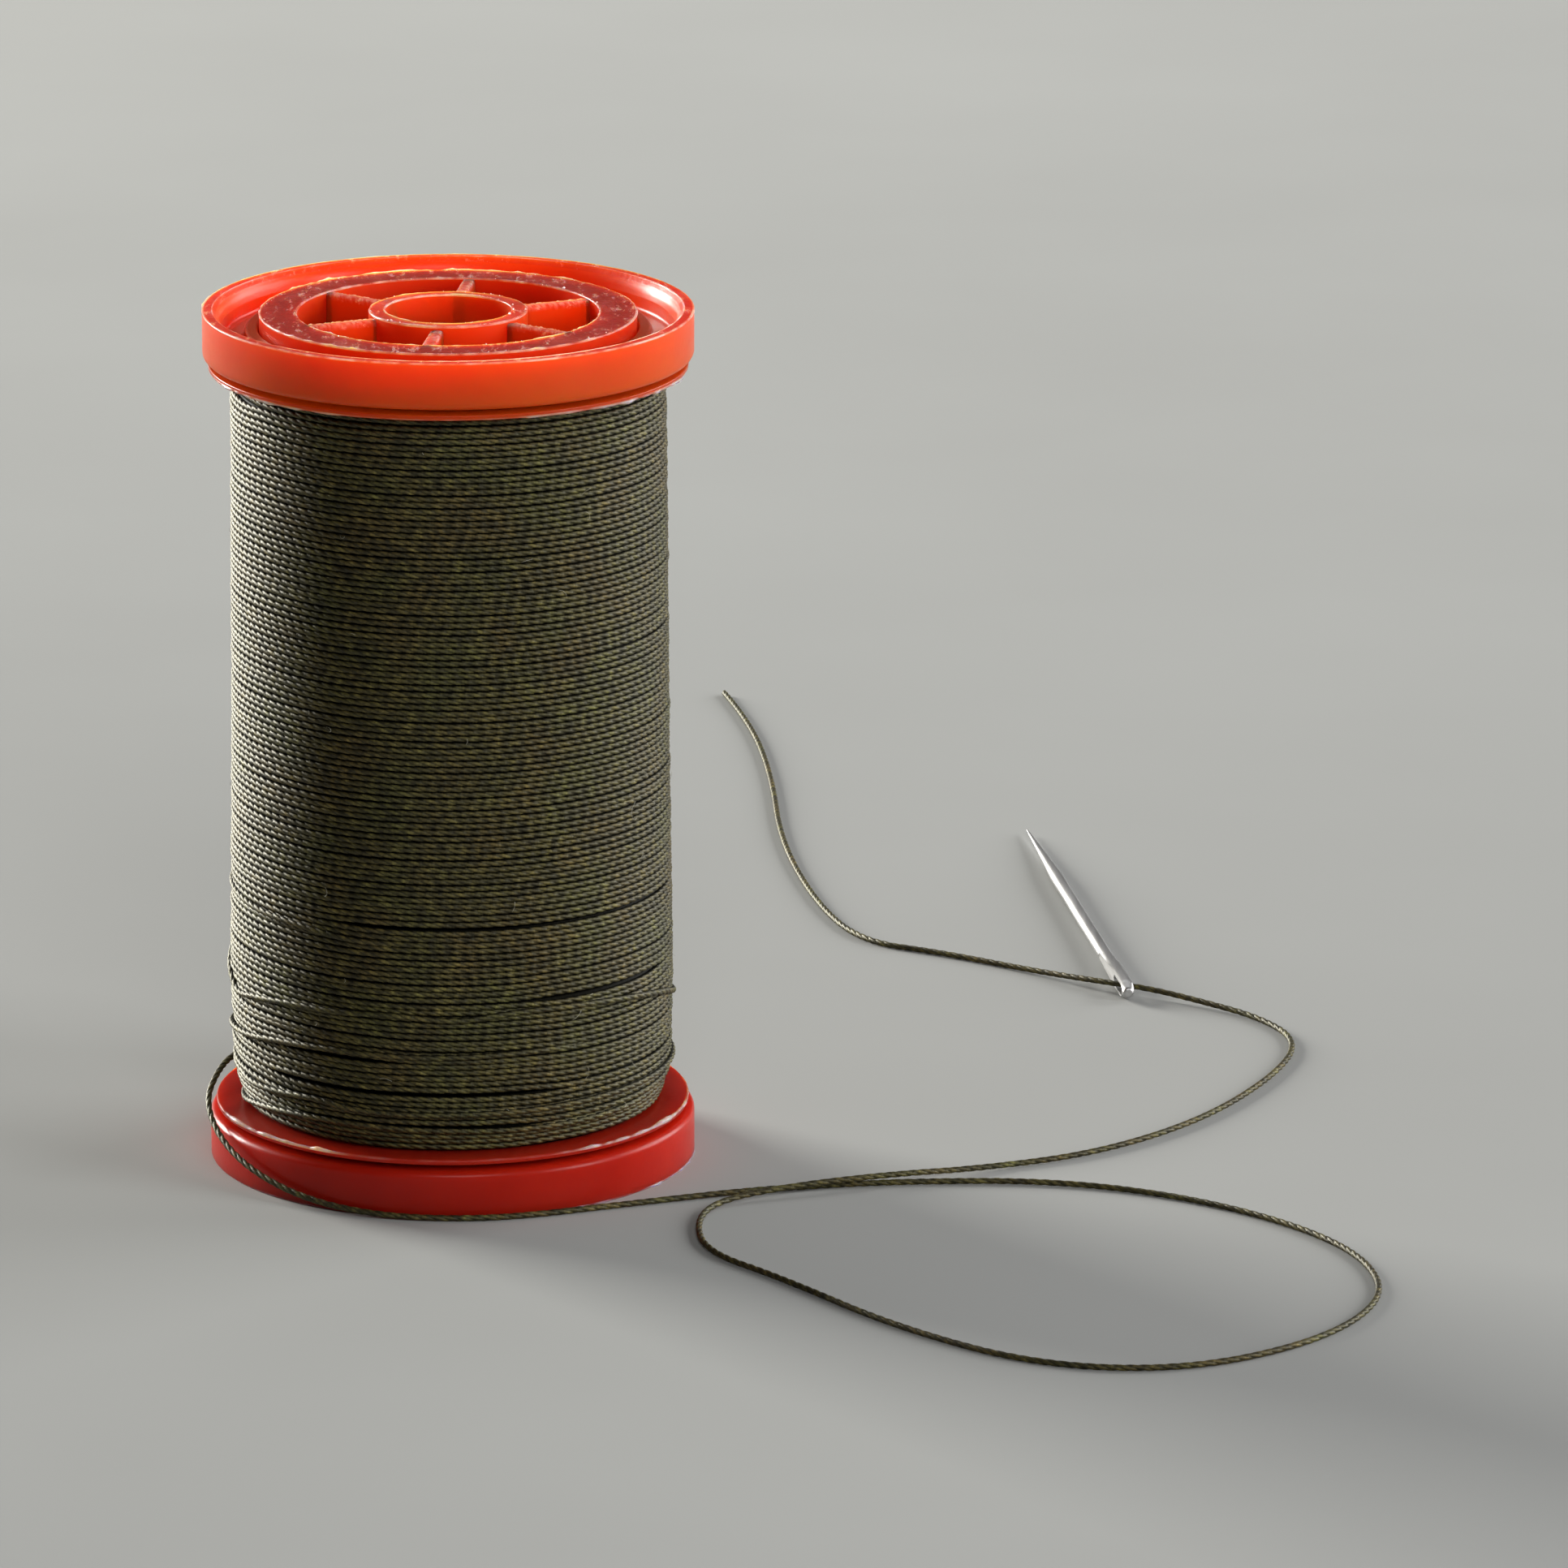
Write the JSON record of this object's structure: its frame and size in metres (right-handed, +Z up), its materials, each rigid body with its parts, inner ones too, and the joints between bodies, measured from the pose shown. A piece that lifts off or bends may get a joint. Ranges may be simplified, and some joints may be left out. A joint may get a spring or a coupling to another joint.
{
  "type": "thread spool",
  "caption": "Upright snap spool of heavy sewing thread with a ribbed pin hub, two sliding snap caps and a free tail threaded through a hand-sewing needle.",
  "frame": {"origin": "centre of the spool's bottom rim, on the surface it stands on", "axes": "+Z up along the spool's axis, -Y towards the viewer, +X towards the side where the tail lies"},
  "size_m": [0.069, 0.1493, 0.0517],
  "materials": {
    "barrel_plastic": "glossy red-orange moulding",
    "flange_plastic": "red-orange moulding, scuffed on its end ring, with fine flash on its edges",
    "hub_plastic": "glossy red-orange moulding",
    "cap_plastic": "glossy, slightly translucent red-orange moulding",
    "thread": "dark olive three-ply twisted polyester with a dry sheen",
    "needle_steel": "polished nickel-plated steel"
  },
  "bodies": {
    "spool": {"barrel_tube": "barrel_plastic", "bottom_end_flange": "flange_plastic", "top_end_flange": "flange_plastic", "hub_core": "hub_plastic", "winding_inner_layers": "thread", "winding_outer_layer": "thread", "thread_tail": "thread"},
    "top_cap": {"top_snap_cap": "cap_plastic"},
    "bottom_cap": {"bottom_snap_cap": "cap_plastic"},
    "sewing_needle": {"needle": "needle_steel"}
  },
  "joints": [
    {"name": "top_cap_snap", "type": "slide", "parent": "spool", "child": "top_cap", "axis": [0, 0, 1], "range_m": [0, 0.0012]},
    {"name": "bottom_cap_snap", "type": "slide", "parent": "spool", "child": "bottom_cap", "axis": [0, 0, -1], "range_m": [0, 0.0012]},
    {"name": "needle_swing", "type": "hinge", "parent": "spool", "child": "sewing_needle", "pos_m": [0.0414, 0.0327, 0.00062], "axis": [0, 0, 1], "range_deg": [-60, 15]}
  ]
}
